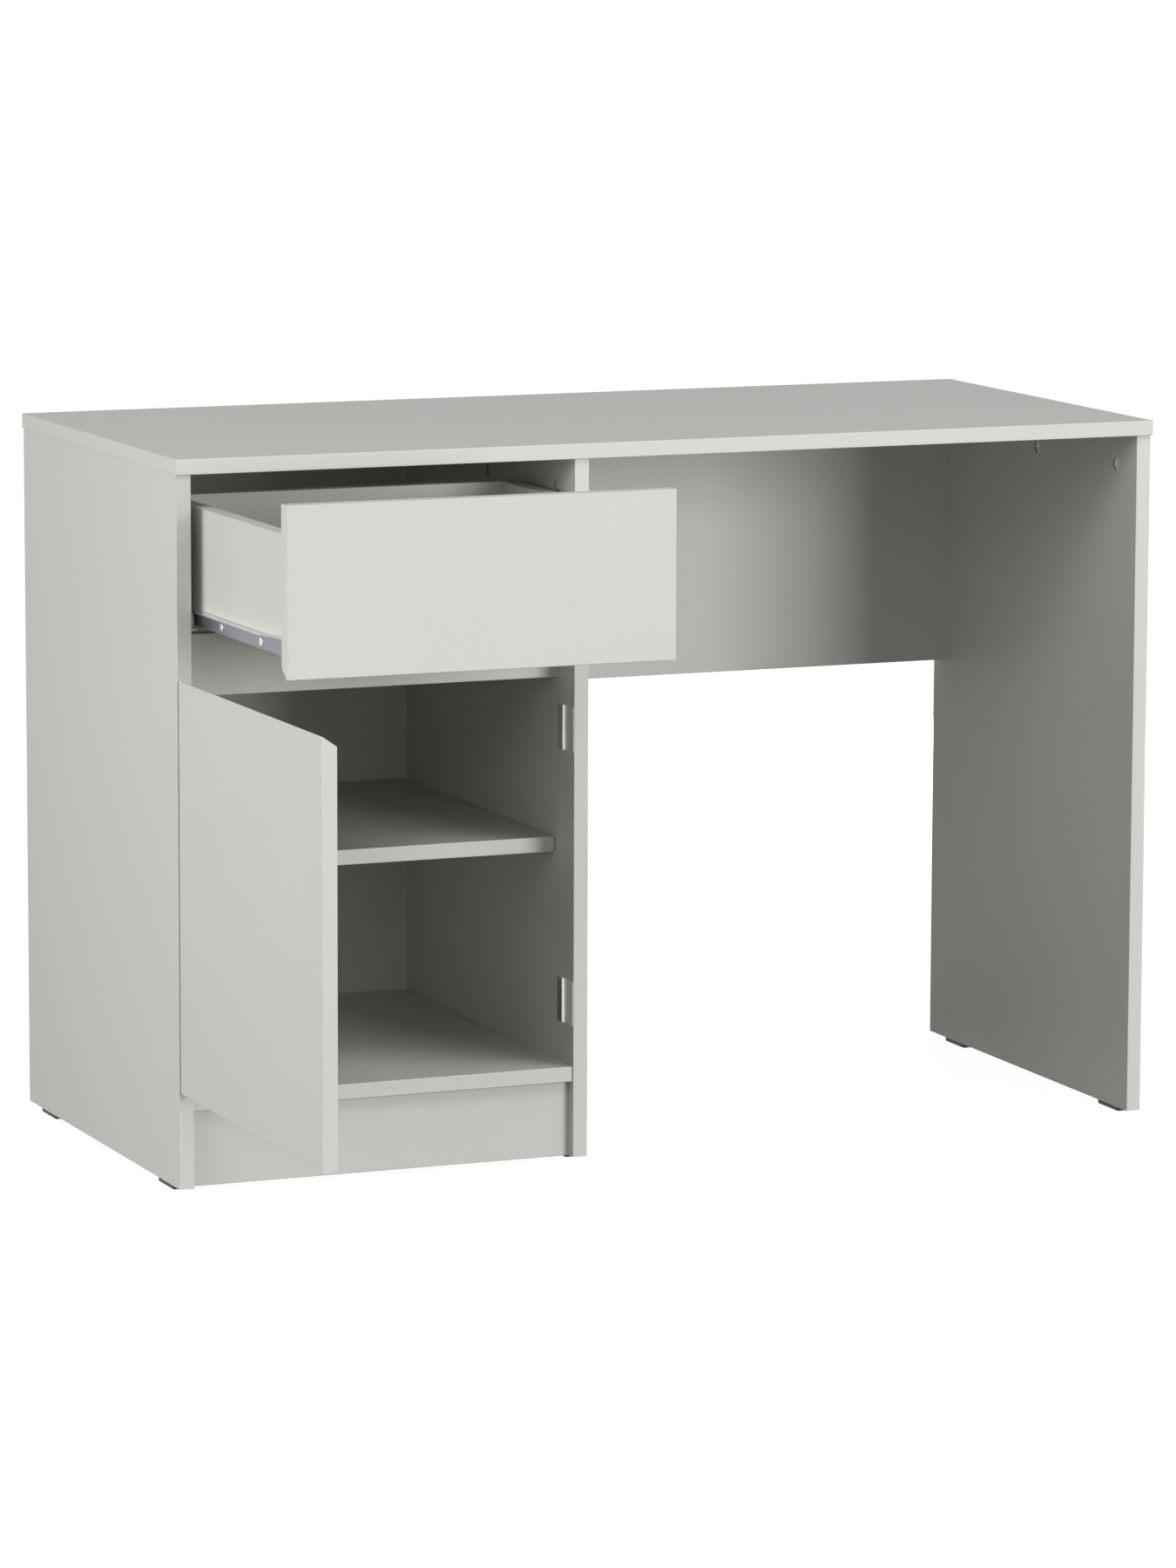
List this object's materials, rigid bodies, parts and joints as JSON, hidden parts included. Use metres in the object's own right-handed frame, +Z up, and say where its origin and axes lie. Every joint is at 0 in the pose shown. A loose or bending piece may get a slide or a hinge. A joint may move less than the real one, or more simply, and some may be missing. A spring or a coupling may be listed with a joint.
{
  "type": "writing desk",
  "caption": "Writing desk with a plain worktop and open knee space, and a side cabinet holding a pull-out drawer above a bevel-edged door and a shelf.",
  "frame": {"origin": "on the floor, at the centre of the box around the desk with its drawer pulled out and its door open at a right angle", "axes": "+X along the desk to the user's right, +Y from the user's side to the rear, +Z up"},
  "size_m": [1.1, 0.9126, 0.754],
  "materials": {
    "melamine_board": "matt light grey melamine on chipboard, edges banded in the same colour",
    "thin_fibreboard": "thin fibreboard with a matt light grey lacquer",
    "cam_zinc": "die-cast zinc, dull",
    "fastener_steel": "bright zinc-plated steel",
    "dowel_beech": "plain turned beech",
    "plated_sheet_steel": "zinc-plated rolled sheet steel, satin",
    "plate_zinc": "nickel-plated die-cast zinc, satin",
    "hinge_steel": "nickel-plated steel, satin",
    "glide_plastic": "black moulded plastic, matt",
    "roller_plastic": "white moulded plastic, satin"
  },
  "bodies": {
    "carcass": {"worktop": "melamine_board", "left_side_panel": "melamine_board", "middle_side_panel": "melamine_board", "right_side_panel": "melamine_board", "bottom_panel": "melamine_board", "plinth_board": "melamine_board", "shelf": "melamine_board", "front_rail": "melamine_board", "modesty_panel": "melamine_board", "cabinet_back": "thin_fibreboard", "cam_fittings": "cam_zinc", "cam_bolts": "fastener_steel", "wooden_dowels": "dowel_beech", "shelf_pins": "fastener_steel", "back_panel_nails": "fastener_steel", "left_cabinet_runner": "plated_sheet_steel", "right_cabinet_runner": "plated_sheet_steel", "cabinet_runner_screws": "fastener_steel", "cabinet_roller_pins": "fastener_steel", "upper_hinge_housing": "hinge_steel", "lower_hinge_housing": "hinge_steel", "hinge_pins": "fastener_steel", "hinge_housing_screws": "fastener_steel", "upper_mounting_plate": "plate_zinc", "lower_mounting_plate": "plate_zinc", "front_left_glide": "glide_plastic", "rear_left_glide": "glide_plastic", "front_middle_glide": "glide_plastic", "rear_middle_glide": "glide_plastic", "front_right_glide": "glide_plastic", "rear_right_glide": "glide_plastic", "glide_nails": "fastener_steel"},
    "drawer": {"drawer_front": "melamine_board", "drawer_left_side": "melamine_board", "drawer_right_side": "melamine_board", "drawer_back": "melamine_board", "drawer_bottom": "thin_fibreboard", "left_drawer_runner": "plated_sheet_steel", "right_drawer_runner": "plated_sheet_steel", "drawer_runner_screws": "fastener_steel", "drawer_roller_pins": "fastener_steel", "drawer_cam_fittings": "cam_zinc", "drawer_cam_bolts": "fastener_steel", "drawer_back_screws": "fastener_steel", "drawer_bottom_nails": "fastener_steel"},
    "door": {"door": "melamine_board", "upper_hinge_leaf": "hinge_steel", "lower_hinge_leaf": "hinge_steel", "hinge_leaf_screws": "fastener_steel"},
    "left_cabinet_roller": {"left_cabinet_roller": "roller_plastic"},
    "right_cabinet_roller": {"right_cabinet_roller": "roller_plastic"},
    "left_drawer_roller": {"left_drawer_roller": "roller_plastic"},
    "right_drawer_roller": {"right_drawer_roller": "roller_plastic"}
  },
  "joints": [
    {"name": "drawer_slide", "type": "slide", "parent": "carcass", "child": "drawer", "axis": [0, -1, 0], "range_m": [-0.2715, 0.0285]},
    {"name": "door_swing", "type": "hinge", "parent": "carcass", "child": "door", "pos_m": [-0.54175, -0.0325, 0.3115], "axis": [0, 0, 1], "range_deg": [-5, 90]},
    {"name": "left_cabinet_roller_spin", "type": "hinge", "parent": "carcass", "child": "left_cabinet_roller", "pos_m": [-0.5267, -0.01295, 0.5879], "axis": [1, 0, 0], "continuous": true},
    {"name": "right_cabinet_roller_spin", "type": "hinge", "parent": "carcass", "child": "right_cabinet_roller", "pos_m": [-0.1213, -0.01295, 0.5879], "axis": [1, 0, 0], "continuous": true},
    {"name": "left_drawer_roller_spin", "type": "hinge", "parent": "drawer", "child": "left_drawer_roller", "pos_m": [-0.5267, 0.09545, 0.5871], "axis": [1, 0, 0], "continuous": true},
    {"name": "right_drawer_roller_spin", "type": "hinge", "parent": "drawer", "child": "right_drawer_roller", "pos_m": [-0.1213, 0.09545, 0.5871], "axis": [1, 0, 0], "continuous": true}
  ],
  "couplings": [
    {"joint": "left_cabinet_roller_spin", "follows": "drawer_slide", "rad_per_m": 113.64},
    {"joint": "right_cabinet_roller_spin", "follows": "drawer_slide", "rad_per_m": 113.64},
    {"joint": "left_drawer_roller_spin", "follows": "drawer_slide", "rad_per_m": 125},
    {"joint": "right_drawer_roller_spin", "follows": "drawer_slide", "rad_per_m": 125}
  ]
}
